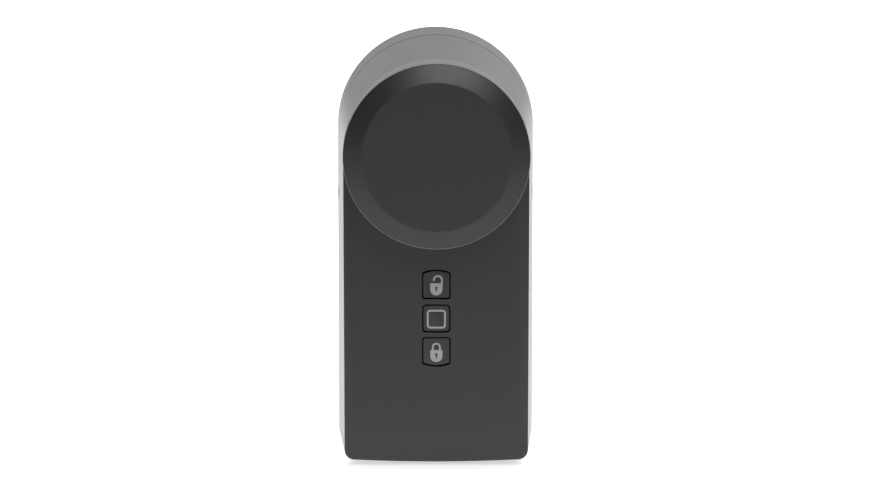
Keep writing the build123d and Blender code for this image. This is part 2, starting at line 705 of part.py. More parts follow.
def make_motor_screws():
    radius = MOTOR_SCREW - RUNNING
    start = POCKET_FLOOR - LOW_HEAD
    tip = MOTOR_REAR + MOTOR_SCREW_DEPTH
    screws = [screw(x, z, start, POCKET_FLOOR, tip, 2 * radius, radius) for x, z in MOTOR_SCREWS]
    return Compound(children=screws)


def plate_blank(layer):
    """The shape that both gear plates share: the casing's outline, cut off above the batteries."""
    wide = 2 * REAR_HALF
    blank = slab(outline(layer[1], GEAR_PLATE_INSET), *layer)
    blank &= block((-wide, GEAR_PLATE_FOOT), (wide, wide), *layer)
    for x, z in CASE_SCREWS:
        blank -= disc(CASE_BOSS + BOSS_ROOM, *layer, x, z)
    return blank


def make_gear_plate():
    plate = plate_blank(GEAR_PLATE) - disc(CUP_RADIUS + CUP_ROOM, *GEAR_PLATE)
    plate += disc(MOTOR_POCKET, POCKET_FLOOR, GEAR_PLATE[1], *MOTOR_AXIS)
    plate += disc(PILLAR_RADIUS, POCKET_FLOOR, GEAR_PLATE[1], *FIRST_AXIS)
    plate -= disc(MOTOR_RADIUS + RUNNING, MOTOR_REAR, GEAR_PLATE[1], *MOTOR_AXIS)
    plate -= disc(MOTOR_NECK + NECK_ROOM, POCKET_FLOOR, MOTOR_REAR, *MOTOR_AXIS)
    for x, z in MOTOR_SCREWS:
        plate -= disc(MOTOR_SCREW, POCKET_FLOOR, MOTOR_REAR, x, z)
    for x, z in PILLARS:
        plate += disc(PILLAR_RADIUS, GEAR_COVER[1], GEAR_PLATE[0], x, z)
        plate -= disc(SCREW + RUNNING, GEAR_COVER[1], GEAR_PLATE[1], x, z)
    plate -= disc(SECOND_AXLE, GEAR_PLATE[0], SECOND_AXLE_END, *SECOND_AXIS)
    return plate - disc(FIRST_AXLE, POCKET_FLOOR, FIRST_AXLE_END, *FIRST_AXIS)


def make_gear_cover():
    cover = plate_blank(GEAR_COVER) - disc(CUP_RADIUS + RUNNING + BUSH_WALL, *GEAR_COVER)
    for x, z in PILLARS:
        cover -= disc(SCREW + RUNNING, *GEAR_COVER, x, z)
    cover -= disc(SECOND_AXLE, AXLE_REAR, GEAR_COVER[1], *SECOND_AXIS)
    return cover - disc(FIRST_AXLE, AXLE_REAR, GEAR_COVER[1], *FIRST_AXIS)


def make_axle(radius, axis, end):
    return disc(radius, AXLE_REAR, end, *axis)


def make_gearbox_screws():
    start = GEAR_COVER[0] - LOW_HEAD
    tip = GEAR_PLATE[1] + PILLAR_THREAD - BLIND
    return Compound(children=[screw(x, z, start, GEAR_COVER[0], tip) for x, z in PILLARS])


# --- batteries ---


CELL_PLACES = {"left": -CELL_PITCH, "middle": 0.0, "right": CELL_PITCH}


def make_cell(name):
    """A round cell. The middle one stands the other way up."""
    x = CELL_PLACES[name]
    nub_radius, nub_length = CELL_NUB
    top = CELL_FOOT + CELL_LENGTH
    if name == "middle":
        can = upright_cylinder(CELL_RADIUS, x, CELL_FOOT, top - nub_length, CELL_DEPTH)
        nub = upright_cylinder(nub_radius, x, top - nub_length, top, CELL_DEPTH)
    else:
        can = upright_cylinder(CELL_RADIUS, x, CELL_FOOT + nub_length, top, CELL_DEPTH)
        nub = upright_cylinder(nub_radius, x, CELL_FOOT, CELL_FOOT + nub_length, CELL_DEPTH)
    can = fillet(can.edges().filter_by(GeomType.CIRCLE), CELL_EDGE)
    return can + nub


def make_battery_tray():
    tray = block((-TRAY_HALF, TRAY_FOOT), (TRAY_HALF, TRAY_TOP), *TRAY)
    for x in CELL_PLACES.values():
        tray -= upright_cylinder(CELL_RADIUS + TRAY_FIT, x, TRAY_FOOT, TRAY_ROOF, CELL_DEPTH)
    return tray


def contact(x_low, x_high, z_low):
    """A flat contact plate across the cells' axes."""
    low = (x_low - CONTACT_HALF, z_low)
    high = (x_high + CONTACT_HALF, z_low + CONTACT)
    return block(low, high, CELL_DEPTH - CONTACT_HALF, CELL_DEPTH + CONTACT_HALF)


def make_upper_contacts():
    """One plate under the tray's roof for each cell. The middle one has a post that reaches its cell."""
    plates = {name: contact(x, x, TRAY_ROOF - CONTACT) for name, x in CELL_PLACES.items()}
    plates["middle"] += upright_cylinder(CONTACT_POST, 0, CELL_FOOT + CELL_LENGTH, TRAY_ROOF, CELL_DEPTH)
    return Compound(children=list(plates.values()))


def make_contact_springs():
    """A bowed leaf spring on the flat end of each outer cell."""
    top = TRAY_ROOF - CONTACT
    foot = CELL_FOOT + CELL_LENGTH
    springs = []
    for x in (-CELL_PITCH, CELL_PITCH):
        edges = [
            ThreePointArc((x - LEAF_REACH, top), (x, foot), (x + LEAF_REACH, top)),
            Line((x + LEAF_REACH, top), (x + LEAF_REACH - LEAF, top)),
            ThreePointArc((x + LEAF_REACH - LEAF, top), (x, foot + LEAF), (x - LEAF_REACH + LEAF, top)),
            Line((x - LEAF_REACH + LEAF, top), (x - LEAF_REACH, top)),
        ]
        springs.append(slab(make_face(edges), CELL_DEPTH - LEAF_HALF, CELL_DEPTH + LEAF_HALF))
    return Compound(children=springs)


def make_door_contacts():
    """One plate joins the left and middle cells, and the other takes the right one."""
    joined = contact(-CELL_PITCH, 0, CELL_FOOT - CONTACT)
    single = contact(CELL_PITCH, CELL_PITCH, CELL_FOOT - CONTACT)
    return Compound(children=[joined, single])


# --- circuit board ---


def make_circuit_board():
    board = block((-BOARD_HALF, BOARD_FOOT), (BOARD_HALF, BOARD_STEP), *BOARD)
    board += block((-BOARD_NECK_HALF, BOARD_STEP), (BOARD_NECK_HALF, BOARD_TOP), *BOARD)
    for x, z in BOARD_SCREWS:
        board -= disc(SCREW + RUNNING, *BOARD, x, z)
    return board


def make_board_screws():
    start = BOARD[0] - HEAD_HEIGHT
    return Compound(children=[screw(x, z, start, BOARD[0], BOARD_SCREW_END) for x, z in BOARD_SCREWS])


def make_switch_housings():
    bodies = []
    for z in KEY_CENTRES.values():
        square = Pos(0, z) * RectangleRounded(SWITCH_SIZE, SWITCH_SIZE, SWITCH_CORNER)
        body = slab(square, BOARD[1], SWITCH_FRONT)
        bodies.append(body - disc(PLUNGER_RADIUS + RUNNING, SWITCH_FLOOR, SWITCH_FRONT, 0, z))
    return Compound(children=bodies)


def make_status_lights():
    z = KEY_CENTRES["open"]
    light = slab(Rectangle(*LIGHT_SIZE), BOARD[1], BOARD[1] + LIGHT_HEIGHT)
    return Compound(children=[Pos(side * LIGHT_X, 0, z) * light for side in (-1, 1)])


def make_radio_module():
    base = BOARD[1] + RADIO_BOARD
    board = slab(Pos(*RADIO_PLACE) * Rectangle(*RADIO_SIZE), BOARD[1], base)
    lid = Pos(*RADIO_PLACE) * RectangleRounded(*SHIELD_SIZE, SHIELD_CORNER)
    return board + slab(lid, base, base + SHIELD_HEIGHT)


def make_chip():
    return slab(Pos(*CHIP_PLACE) * Rectangle(CHIP_SIZE, CHIP_SIZE), BOARD[1], BOARD[1] + CHIP_HEIGHT)


def make_antenna():
    """A strip of sheet metal bent to an L, with its foot on the board."""
    x, z = ANTENNA_CORNER
    foot = block((x, z), (x + ANTENNA_LENGTH, z + ANTENNA_FOOT), BOARD[1], BOARD[1] + ANTENNA_SHEET)
    wall = block((x, z), (x + ANTENNA_LENGTH, z + ANTENNA_SHEET), BOARD[1], BOARD[1] + ANTENNA_HEIGHT)
    return foot + wall


def make_sounder():
    rear = BOARD[0] - SOUNDER_HEIGHT
    body = disc(SOUNDER_RADIUS, rear, BOARD[0], *SOUNDER_PLACE)
    return body - disc(SOUND_HOLE, rear, rear + SOUND_HOLE, *SOUNDER_PLACE)


# --- keys ---


def key_outline(name, grow=0.0):
    """A square key, bowed outwards on the side that faces away from the middle one."""
    centre = KEY_CENTRES[name]
    half = KEY_HALF_WIDTH + grow
    height = (OPEN_HALF_HEIGHT if name == "open" else KEY_HALF_HEIGHT) + grow
    arch_top = {"unlock": KEY_ARCH, "open": OPEN_ARCH, "lock": 0.0}[name]
    arch_foot = {"unlock": 0.0, "open": OPEN_ARCH, "lock": KEY_ARCH}[name]
    bow = OPEN_ARCH if name == "open" else 0.0
    top = centre + height - arch_top
    foot = centre - height + arch_foot
    edges = [
        bowed((-half + bow, foot), (half - bow, foot), (0, foot - arch_foot)),
        bowed((half - bow, foot), (half - bow, top), (half, centre)),
        bowed((half - bow, top), (-half + bow, top), (0, top + arch_top)),
        bowed((-half + bow, top), (-half + bow, foot), (-half, centre)),
    ]
    face = make_face(edges)
    return fillet(face.vertices(), KEY_CORNER + grow)


def bowed(start, end, middle):
    """An arc through the middle point, or a line where the three are in a row."""
    turn = (middle[0] - start[0]) * (end[1] - start[1]) - (middle[1] - start[1]) * (end[0] - start[0])
    if abs(turn) < NEAR:
        return Line(start, end)
    return ThreePointArc(start, middle, end)


def padlock(name):
    """A padlock pictogram: a body with a round foot, a keyhole and a shackle, shut or swung open."""
    is_open = name == "unlock"
    top = KEY_CENTRES[name] + BODY_TOP[name]
    half, straight, foot = LOCK_BODY
    body = Pos(0, top - straight / 2) * Rectangle(2 * half, straight)
    body += Pos(0, top - straight) * Ellipse(half, foot)
    hole_radius, hole_depth = KEYHOLE
    slot_width, slot_length, slot_depth = KEYHOLE_SLOT
    body -= Pos(0, top - hole_depth) * Circle(hole_radius)
    body -= Pos(0, top - slot_depth) * Rectangle(slot_width, slot_length)
    outer, rise, shift = SHACKLE_OPEN if is_open else SHACKLE_SHUT
    arch = top + rise
    loop = Pos(shift, arch) * (Circle(outer) - Circle(outer - STROKE))
    loop &= Pos(shift, arch + outer / 2) * Rectangle(2 * outer, outer)
    reach = outer - STROKE / 2
    leg = rise + STROKE / 2
    right = Pos(shift + reach, arch - leg / 2) * Rectangle(STROKE, leg)
    left_leg = OPEN_LEG if is_open else leg
    left = Pos(shift - reach, arch - left_leg / 2) * Rectangle(STROKE, left_leg)
    return body + loop + right + left


def light_square(name):
    side, corner, rise = LIGHT_SQUARE
    inner = side - 2 * STROKE
    outline_shape = RectangleRounded(side, side, corner) - RectangleRounded(inner, inner, corner - STROKE)
    return Pos(0, KEY_CENTRES[name] + rise) * outline_shape


def symbol_of(name):
    return light_square(name) if name == "open" else padlock(name)


def make_key(name):
    key = slab(key_outline(name), KEY_REAR, KEY_FACE)
    rim = [edge for edge in key.edges() if abs(edge.center().Y + KEY_FACE) < NEAR]
    key = fillet(rim, KEY_ROUND)
    z = KEY_CENTRES[name]
    low = (-KEY_STEM_HALF, z - KEY_STEM_HALF)
    high = (KEY_STEM_HALF, z + KEY_STEM_HALF)
    key += block(low, high, STEM_REAR, KEY_REAR)
    return key - slab(symbol_of(name), KEY_FACE - SYMBOL_DEPTH, KEY_FACE)


def make_symbol(name):
    return slab(symbol_of(name), KEY_FACE - SYMBOL_DEPTH, KEY_FACE + SYMBOL_PROUD)


def make_plunger(name):
    return disc(PLUNGER_RADIUS, SWITCH_FRONT - STROKE_ROOM, STEM_REAR, 0, KEY_CENTRES[name])


def make_parts():
    nodes = {
        "housing_shell": make_housing_shell(),
        "rear_cover": make_rear_cover(),
        "front_cover": make_front_cover(),
        "mounting_plate": make_mounting_plate(),
        "cylinder_set_screws": make_set_screws(),
        "plate_lock_screws": make_lock_screws(),
        "rear_cover_screws": make_case_screws(),
        "battery_door": make_battery_door(),
        "key_cup": make_key_cup(),
        "drive_sleeve": make_drive_sleeve(),
        "handwheel_shell": make_handwheel_shell(),
        "handwheel_cap": make_handwheel_cap(),
        "wheel_screws": make_wheel_screws(),
        "cup_screws": make_cup_screws(),
        "output_gear": make_output_gear(),
        "magnet_ring": ring(MAGNET_RADIUS, CUP_RADIUS + SHRINK, *MAGNET_DEPTHS),
        "rear_bush": bush(CUP_RADIUS, REAR_BUSH_DEPTHS),
        "front_bush": bush(SLEEVE_RADIUS, FRONT_BUSH_DEPTHS),
        "second_gear": make_second_gear(),
        "first_gear": make_first_gear(),
        "second_axle": make_axle(SECOND_AXLE, SECOND_AXIS, SECOND_AXLE_END),
        "first_axle": make_axle(FIRST_AXLE, FIRST_AXIS, FIRST_AXLE_END),
        "gear_plate": make_gear_plate(),
        "gear_cover": make_gear_cover(),
        "gearbox_screws": make_gearbox_screws(),
        "motor_can": make_motor_can(),
        "motor_shaft": make_motor_shaft(),
        "motor_pinion": make_motor_pinion(),
        "motor_screws": make_motor_screws(),
        "battery_tray": make_battery_tray(),
        "upper_contacts": make_upper_contacts(),
        "contact_springs": make_contact_springs(),
        "door_contacts": make_door_contacts(),
        "circuit_board": make_circuit_board(),
        "board_screws": make_board_screws(),
        "switch_housings": make_switch_housings(),
        "status_lights": make_status_lights(),
        "radio_module": make_radio_module(),
        "controller_chip": make_chip(),
        "antenna": make_antenna(),
        "hall_sensor": slab(Pos(*HALL_PLACE) * Rectangle(*HALL_SIZE), BOARD[0] - HALL_HEIGHT, BOARD[0]),
        "sounder": make_sounder(),
    }
    for name in CELL_PLACES:
        nodes["battery_" + name] = make_cell(name)
    for name in KEY_CENTRES:
        nodes[name + "_button"] = make_key(name)
        nodes[name + "_plunger"] = make_plunger(name)
        nodes["light_ring" if name == "open" else name + "_symbol"] = make_symbol(name)
    return nodes


def main():
    for name, shape in make_parts().items():
        export_step(shape, "parts/" + name + ".step")


main()
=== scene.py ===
# %% [markdown]
# # A motor drive for a door's lock cylinder
# A tapered casing with a round top carries a big handwheel and three keys. The handwheel turns a cup that
# holds the key of the lock behind it, and a motor turns the same cup through a gear train. The engineering
# model gives every piece its size and place, in metres, with +Z up and the front facing -Y. This lesson gives
# the pieces their edges, their surfaces and a small studio.

# %% Load the frame
import bmesh
import bpy
import json
import math
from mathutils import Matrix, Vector


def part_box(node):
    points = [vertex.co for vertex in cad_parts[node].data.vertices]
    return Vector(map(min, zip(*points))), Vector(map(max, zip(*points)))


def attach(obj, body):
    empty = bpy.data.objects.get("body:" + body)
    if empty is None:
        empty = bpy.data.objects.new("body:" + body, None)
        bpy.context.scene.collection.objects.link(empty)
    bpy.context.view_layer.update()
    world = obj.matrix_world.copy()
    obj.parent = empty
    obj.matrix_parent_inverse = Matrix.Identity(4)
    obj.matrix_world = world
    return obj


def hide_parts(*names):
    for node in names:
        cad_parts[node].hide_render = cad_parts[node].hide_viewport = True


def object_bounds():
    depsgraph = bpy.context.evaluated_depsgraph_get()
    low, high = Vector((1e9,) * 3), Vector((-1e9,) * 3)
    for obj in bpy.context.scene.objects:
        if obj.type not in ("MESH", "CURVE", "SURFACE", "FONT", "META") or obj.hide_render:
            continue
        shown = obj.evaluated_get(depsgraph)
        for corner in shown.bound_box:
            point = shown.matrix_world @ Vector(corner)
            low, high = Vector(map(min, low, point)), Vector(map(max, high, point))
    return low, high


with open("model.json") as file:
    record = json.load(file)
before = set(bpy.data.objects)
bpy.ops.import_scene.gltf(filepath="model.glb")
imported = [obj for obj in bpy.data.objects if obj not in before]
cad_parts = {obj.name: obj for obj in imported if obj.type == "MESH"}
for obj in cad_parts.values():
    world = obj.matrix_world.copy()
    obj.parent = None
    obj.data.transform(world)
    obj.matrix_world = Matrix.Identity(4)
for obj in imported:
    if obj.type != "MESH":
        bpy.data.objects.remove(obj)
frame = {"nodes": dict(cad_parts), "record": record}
cad_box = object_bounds()
nodes = frame["nodes"]
MM = 0.001

# %% [markdown]
# The casing, front cover and handwheel share one axis line, the Y axis. The boxes of three pieces give depths
# and radii that the new pieces have to meet. The casing's taper can't be read from a box, so its sizes are
# typed in where its surface is described.

# %% Key sizes of the object
cover_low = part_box("front_cover")[0]
shell_low, shell_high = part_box("handwheel_shell")
cap_low, cap_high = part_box("handwheel_cap")
object_low = Vector(cad_box[0])
object_high = Vector(cad_box[1])
print("size in mm:", [round(v / MM, 1) for v in object_high - object_low])

# %% [markdown]
# ## Camera
# A long lens from about a metre and a half keeps the upright sides of the casing upright. The camera stands a
# little above the object and looks slightly down on it, so the round top of the casing shows behind the
# handwheel. The lens is long enough for the casing to fill most of the picture's height.

# %% Camera
ELEVATION = math.radians(10.47)
AZIMUTH = math.radians(-0.3)
DISTANCE = 1.5
AIM = Vector((-0.0003, -0.030, -0.0317))
SENSOR = 36.0
LENS = 208.7


def place_camera():
    """A camera almost on the object's centre line, above the level of the point that it looks at."""
    data = bpy.data.cameras.new("camera")
    data.sensor_width = SENSOR
    data.lens = LENS
    camera = bpy.data.objects.new("camera", data)
    bpy.context.scene.collection.objects.link(camera)
    level = math.cos(ELEVATION)
    heading = Vector((math.sin(AZIMUTH) * level, -math.cos(AZIMUTH) * level, math.sin(ELEVATION)))
    camera.location = AIM + DISTANCE * heading
    camera.rotation_euler = (math.pi / 2 - ELEVATION, 0, AZIMUTH)
    bpy.context.scene.camera = camera
    return camera


camera = place_camera()
bpy.context.scene.view_settings.view_transform = "Standard"
print("camera at", [round(v, 3) for v in camera.location])

# %% [markdown]
# ## Colour and nodes
# Paint and moulding colours are usually given as hex values in sRGB, but the shader works in linear light.
# One function turns one into the other. A second small function adds a shader node, with its settings and
# links, so that a material reads as a list of what it is made of.

# %% Helpers for materials


def linear(hex_colour):
    """An sRGB hex colour as linear RGBA."""
    channels = [int(hex_colour[i : i + 2], 16) / 255 for i in (1, 3, 5)]
    return [c / 12.92 if c <= 0.04045 else ((c + 0.055) / 1.055) ** 2.4 for c in channels] + [1.0]


def add(tree, kind, sockets=None, **settings):
    """Adds one node. A socket gets a value, or a link if it is given another node's output."""
    node = tree.nodes.new(kind)
    for name, value in settings.items():
        setattr(node, name, value)
    for name, value in (sockets or {}).items():
        if isinstance(value, bpy.types.NodeSocket):
            tree.links.new(value, node.inputs[name])
        else:
            node.inputs[name].default_value = value
    return node


def new_material(name, **sockets):
    """A material with one shader. Its even values sit on the shader's own sockets."""
    material = bpy.data.materials.new(name)
    material.use_nodes = True
    shader = material.node_tree.nodes["Principled BSDF"]
    for socket, value in sockets.items():
        shader.inputs[socket.replace("_", " ")].default_value = value
    return material, material.node_tree, shader


def per_mm(size):
    """The texture scale that makes one feature `size` millimetres wide."""
    return 1 / (size * MM)


# %% [markdown]
# ## Anthracite moulded ABS
# The front cover, the disc of the handwheel and the keys are moulded ABS, dyed almost black. The mould is
# spark-eroded, which leaves a fine even grain of about 0.1 mm. That grain breaks up reflections, so the
# surface looks like satin: dark where it faces the camera and paler where it leans towards a light. The real
# grain is too fine to show, so it is drawn about three times as coarse. A slow, faint variation in roughness
# stands for handling. Thumbs polish the edges first, so the edges are a shade paler. They are found by
# comparing the surface with a rounded copy of itself, which works on any mesh.

# %% Material: anthracite ABS
GRAIN_MM = 0.32
HANDLING_MM = 9.0
WEAR_MM = 0.35
WEAR_MOST = 0.5
# Cosine between the surface and its rounded copy, where wear starts and where it is full.
WEAR_STARTS, WEAR_FULL = 0.995, 0.85


def moulded_grain(tree, shader, grain_mm, depth_mm, roughness, spread):
    """Spark-eroded mould texture: fine bump, and roughness that drifts a little over the piece."""
    place = add(tree, "ShaderNodeTexCoord").outputs["Object"]
    grain_sockets = {"Vector": place, "Scale": per_mm(grain_mm), "Detail": 3.0, "Roughness": 0.6}
    grain = add(tree, "ShaderNodeTexNoise", grain_sockets)
    bump_sockets = {"Height": grain.outputs["Fac"], "Strength": 0.5, "Distance": depth_mm * MM}
    bump = add(tree, "ShaderNodeBump", bump_sockets)
    tree.links.new(bump.outputs["Normal"], shader.inputs["Normal"])
    drift = add(tree, "ShaderNodeTexNoise", {"Vector": place, "Scale": per_mm(HANDLING_MM), "Detail": 2.0})
    limits = {"Value": drift.outputs["Fac"], "To Min": roughness - spread, "To Max": roughness + spread}
    rough = add(tree, "ShaderNodeMapRange", limits)
    tree.links.new(rough.outputs["Result"], shader.inputs["Roughness"])
    return grain.outputs["Fac"]


def tinted(tree, shader, pattern, dark, light, rubbed):
    """Lets a pattern move the base colour between two close shades, and pales the edges that hands rub."""
    sockets = {"Factor": pattern, 6: linear(dark), 7: linear(light)}
    mix = add(tree, "ShaderNodeMix", sockets, data_type="RGBA")
    wear = edge_wear(tree)
    worn_sockets = {"Factor": wear, 6: mix.outputs[2], 7: linear(rubbed)}
    worn = add(tree, "ShaderNodeMix", worn_sockets, data_type="RGBA")
    tree.links.new(worn.outputs[2], shader.inputs["Base Color"])


def edge_wear(tree):
    """Grows from 0 on flat ground to WEAR_MOST where a rounded copy of the surface turns away from it."""
    soft = add(tree, "ShaderNodeBevel", {"Radius": WEAR_MM * MM}, samples=4).outputs["Normal"]
    true = add(tree, "ShaderNodeNewGeometry").outputs["True Normal"]
    agree = add(tree, "ShaderNodeVectorMath", {0: soft, 1: true}, operation="DOT_PRODUCT")
    limits = {"From Min": WEAR_STARTS, "From Max": WEAR_FULL, "To Max": WEAR_MOST}
    limits["Value"] = agree.outputs["Value"]
    return add(tree, "ShaderNodeMapRange", limits).outputs["Result"]


def make_anthracite():
    material, tree, shader = new_material("abs_anthracite_spark_eroded", IOR=1.53)
    grain = moulded_grain(tree, shader, GRAIN_MM, depth_mm=0.02, roughness=0.37, spread=0.03)
    tinted(tree, shader, grain, "#1d1d1e", "#272728", "#3a3a3b")
    return material


anthracite = make_anthracite()
print("made", anthracite.name)

# %% [markdown]
# ## Grey lacquered ABS
# The casing and the side of the handwheel are moulded ABS with a grey lacquer that has a little aluminium
# flake. It is a middle grey where it is seen straight on. Seen at a shallow angle, as the sides are, the
# gloss of the lacquer takes over and the surface shows the bright room.

# %% Material: grey lacquer
FLAKE_MM = 0.25


def make_grey_lacquer():
    material, tree, shader = new_material("grey_lacquer_on_abs", IOR=1.5, Metallic=0.15)
    flake = moulded_grain(tree, shader, FLAKE_MM, depth_mm=0.012, roughness=0.42, spread=0.03)
    tinted(tree, shader, flake, "#737373", "#818181", "#8e8e8e")
    return material


lacquer = make_grey_lacquer()
print("made", lacquer.name)

# %% [markdown]
# ## Symbols
# The padlocks and the square on the keys are inlays of milky polycarbonate, which light from behind makes
# glow. Unlit, they are a plain soft grey.

# %% Material: milky inlay
def make_inlay():
    material, tree, shader = new_material("milky_polycarbonate_inlay", IOR=1.58, Roughness=0.4)
    place = add(tree, "ShaderNodeTexCoord").outputs["Object"]
    cloud = add(tree, "ShaderNodeTexNoise", {"Vector": place, "Scale": per_mm(0.8), "Detail": 2.0})
    tinted(tree, shader, cloud.outputs["Fac"], "#8e8e8e", "#a0a0a0", "#a8a8a8")
    return material


inlay = make_inlay()
print("made", inlay.name)

# %% [markdown]
# ## Metals
# The mounting plate and the key cup are die-cast zinc, whose tumbled skin has shallow cloudy dents. The
# screws, axles and motor can are zinc-plated steel. The output gear and the sleeve are sintered steel, which
# is grainy and darker. The bushes are sintered bronze, and the contacts are bright nickel plate.

# %% Materials: metals
def make_metal(name, dark, light, rubbed, roughness, grain_mm, depth_mm):
    """A metal whose surface process leaves dents or grains of a known size."""
    material, tree, shader = new_material(name, Metallic=1.0)
    grain = moulded_grain(tree, shader, grain_mm, depth_mm, roughness, 0.05)
    tinted(tree, shader, grain, dark, light, rubbed)
    return material


zinc = make_metal("zinc_die_cast_tumbled", "#a2a3a5", "#b9babc", "#d0d1d2", 0.42, 1.2, 0.02)
plated = make_metal("steel_zinc_plated", "#b4b6ba", "#c9cbce", "#d8d9db", 0.28, 0.4, 0.004)
sintered = make_metal("steel_sintered", "#77787a", "#8f9092", "#b4b5b7", 0.5, 0.2, 0.015)
bronze = make_metal("bronze_sintered", "#8e6a3f", "#a98353", "#c9a673", 0.45, 0.2, 0.01)
nickel = make_metal("nickel_plate_bright", "#b9b3a6", "#cfc9bc", "#ddd9cf", 0.18, 0.5, 0.002)
print("made five metals")

# %% [markdown]
# ## Resins and laminate inside
# The gears are natural acetal, milky and slippery. The gear plates and battery tray are glass-filled nylon,
# whose fibres show as a dull mottle. The circuit board is green solder resist over woven glass, and the chips
# are black epoxy. The cells wear a printed shrink sleeve.

# %% Materials: inside
def make_resin(name, dark, light, rubbed, roughness, grain_mm, depth_mm, ior):
    """A moulded or cast resin with a mottle of a known size."""
    material, tree, shader = new_material(name, IOR=ior)
    grain = moulded_grain(tree, shader, grain_mm, depth_mm, roughness, 0.04)
    tinted(tree, shader, grain, dark, light, rubbed)
    return material


acetal = make_resin("acetal_natural", "#d9d6cb", "#e6e3d9", "#f0eee8", 0.35, 1.5, 0.004, 1.48)
# This nylon is also the painted shade on the casing's deck and seam faces.
nylon = make_resin("nylon_glass_filled", "#252527", "#333336", "#4a4a4e", 0.6, 0.4, 0.02, 1.53)
laminate = make_resin("solder_resist_on_glass_weave", "#0d4a22", "#12592b", "#3c7a50", 0.3, 0.6, 0.004, 1.5)
epoxy = make_resin("epoxy_black_moulded", "#161617", "#222223", "#39393b", 0.5, 0.3, 0.01, 1.55)
sleeve = make_resin("cell_sleeve_shrink_film", "#20242c", "#2b303a", "#454b57", 0.3, 2.0, 0.004, 1.5)
clear = make_resin("epoxy_clear_lens", "#dcdccf", "#ecebe0", "#f4f4ee", 0.2, 1.0, 0.002, 1.55)
print("made six resins")

# %% [markdown]
# Each node already has a material slot named in the record. One table says which finish each slot gets.

# %% Give every node its material
FINISHES = {
    "housing_grey": lacquer,
    "anthracite": anthracite,
    "symbol_grey": inlay,
    "zinc_casting": zinc,
    "steel": plated,
    "sintered_steel": sintered,
    "acetal": acetal,
    "bronze": bronze,
    "filled_nylon": nylon,
    "board_laminate": laminate,
    "black_resin": epoxy,
    "nickel": nickel,
    "cell_wrap": sleeve,
    "light_resin": clear,
}
slot_of = {part["node"]: part["material_slot"] for part in frame["record"]["subparts"]}


def body_of(node):
    """The body that a node belongs to."""
    groups = frame["record"]["behaviour"]["bodies"]
    return next(body for body, members in groups.items() if node in members)


for name, piece in nodes.items():
    piece.data.materials.clear()
    piece.data.materials.append(FINISHES[slot_of[name]])
print("finished", len(nodes), "nodes")

# %% [markdown]
# ## Soft edges
# No moulded edge is sharp: a mould leaves a little roundness, and that thin line catches the light. Each
# outer piece is copied from the frame, its flat faces are joined into single faces, and a bevel rounds what
# is left. How round an edge is depends on where it is, so each edge gets its own bevel weight. The copy
# stands for its node, so the part underneath keeps its size.

# %% Round the moulded edges
SHARP = math.radians(35)
NEARLY_FLAT = math.radians(0.3)
WIDEST = 1.0
WELD = 0.001 * MM


def copied(node):
    """A copy of a node's mesh with its flat faces joined, ready to be worked on."""
    build = bmesh.new()
    build.from_mesh(nodes[node].data)
    bmesh.ops.remove_doubles(build, verts=build.verts, dist=WELD)
    bmesh.ops.dissolve_limit(build, angle_limit=NEARLY_FLAT, verts=build.verts, edges=build.edges)
    for face in build.faces:
        face.smooth = True
    return build


def rounded(node, build, radius_at):
    """Bevels each sharp edge by the radius, in mm, that `radius_at` gives for its middle."""
    weights = build.edges.layers.float.new("bevel_weight_edge")
    for edge in build.edges:
        if len(edge.link_faces) == 2 and edge.calc_face_angle() > SHARP:
            middle = (edge.verts[0].co + edge.verts[1].co) / 2
            edge[weights] = radius_at(middle) / WIDEST
    mesh = bpy.data.meshes.new(node + "_moulding")
    build.to_mesh(mesh)
    build.free()
    piece = bpy.data.objects.new(node + "_moulding", mesh)
    bpy.context.scene.collection.objects.link(piece)
    bevel = piece.modifiers.new("mould radius", "BEVEL")
    bevel.limit_method = "WEIGHT"
    bevel.width = WIDEST * MM
    bevel.segments = 4
    bevel.use_clamp_overlap = True
    bevel.harden_normals = True
    shaped = bpy.data.meshes.new_from_object(piece.evaluated_get(bpy.context.evaluated_depsgraph_get()))
    piece.modifiers.clear()
    piece.data = shaped
    return piece


def stands_for(piece, node):
    """The piece takes the node's place, rides where it rides and takes its finish."""
    piece.data.materials.clear()
    piece.data.materials.append(FINISHES[slot_of[node]])
    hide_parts(node)
    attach(piece, body_of(node))


# %% [markdown]
# The casing's sides are drafted: they lean in towards the front. Its round top is part of a cone. A mesh of
# a cone has flat facets, and the light gives them away as streaks. The true direction of the surface is
# known, because the casing has a simple shape, so it is written into the mesh as custom normals. The same is
# done for the field of the front cover and its sloping edges.
#
# The brow, the top of the casing over the handwheel, departs from the engineering model on purpose. It is
# bent down by up to 0.95 mm, because the plain cone left a dark step behind the wheel.

# %% The casing's true surface
HALF_REAR, HALF_FRONT, HALF_FRONT_FOOT = 29.5, 27.35, 27.15
FOOT_REAR, FOOT_FRONT, BULGE, CORNER = 97.5, 94.3, 0.75, 3.0
DEEP, SEAM = 46.5, 13.3
BROW_DIP = 0.95
SIDE_DRAFT = (HALF_REAR - HALF_FRONT) / DEEP
FOOT_DRAFT = (FOOT_REAR - FOOT_FRONT) / DEEP
ON_SURFACE = 0.03
SAME_WAY = math.cos(math.radians(22))


def brow_dip(rise, depth):
    """How far, in mm, the brow dips below the cone. It dips most at the top of its front edge."""
    forward = max(0.0, (depth - SEAM) / (DEEP - SEAM))
    return BROW_DIP * (1 - (1 - rise) ** 2) * forward


def dip_brow(build):
    """Bends the cone down towards the handwheel, so that no step shows behind the wheel."""
    for vert in build.verts:
        x, depth, z = vert.co.x / MM, -vert.co.y / MM, vert.co.z / MM
        reach = math.hypot(x, z)
        cone = HALF_REAR + (HALF_FRONT - HALF_REAR) * depth / DEEP
        if z > 0 and abs(reach - cone) < ON_SURFACE:
            share = 1 - brow_dip(z / reach, depth) / reach
            vert.co.x *= share
            vert.co.z *= share


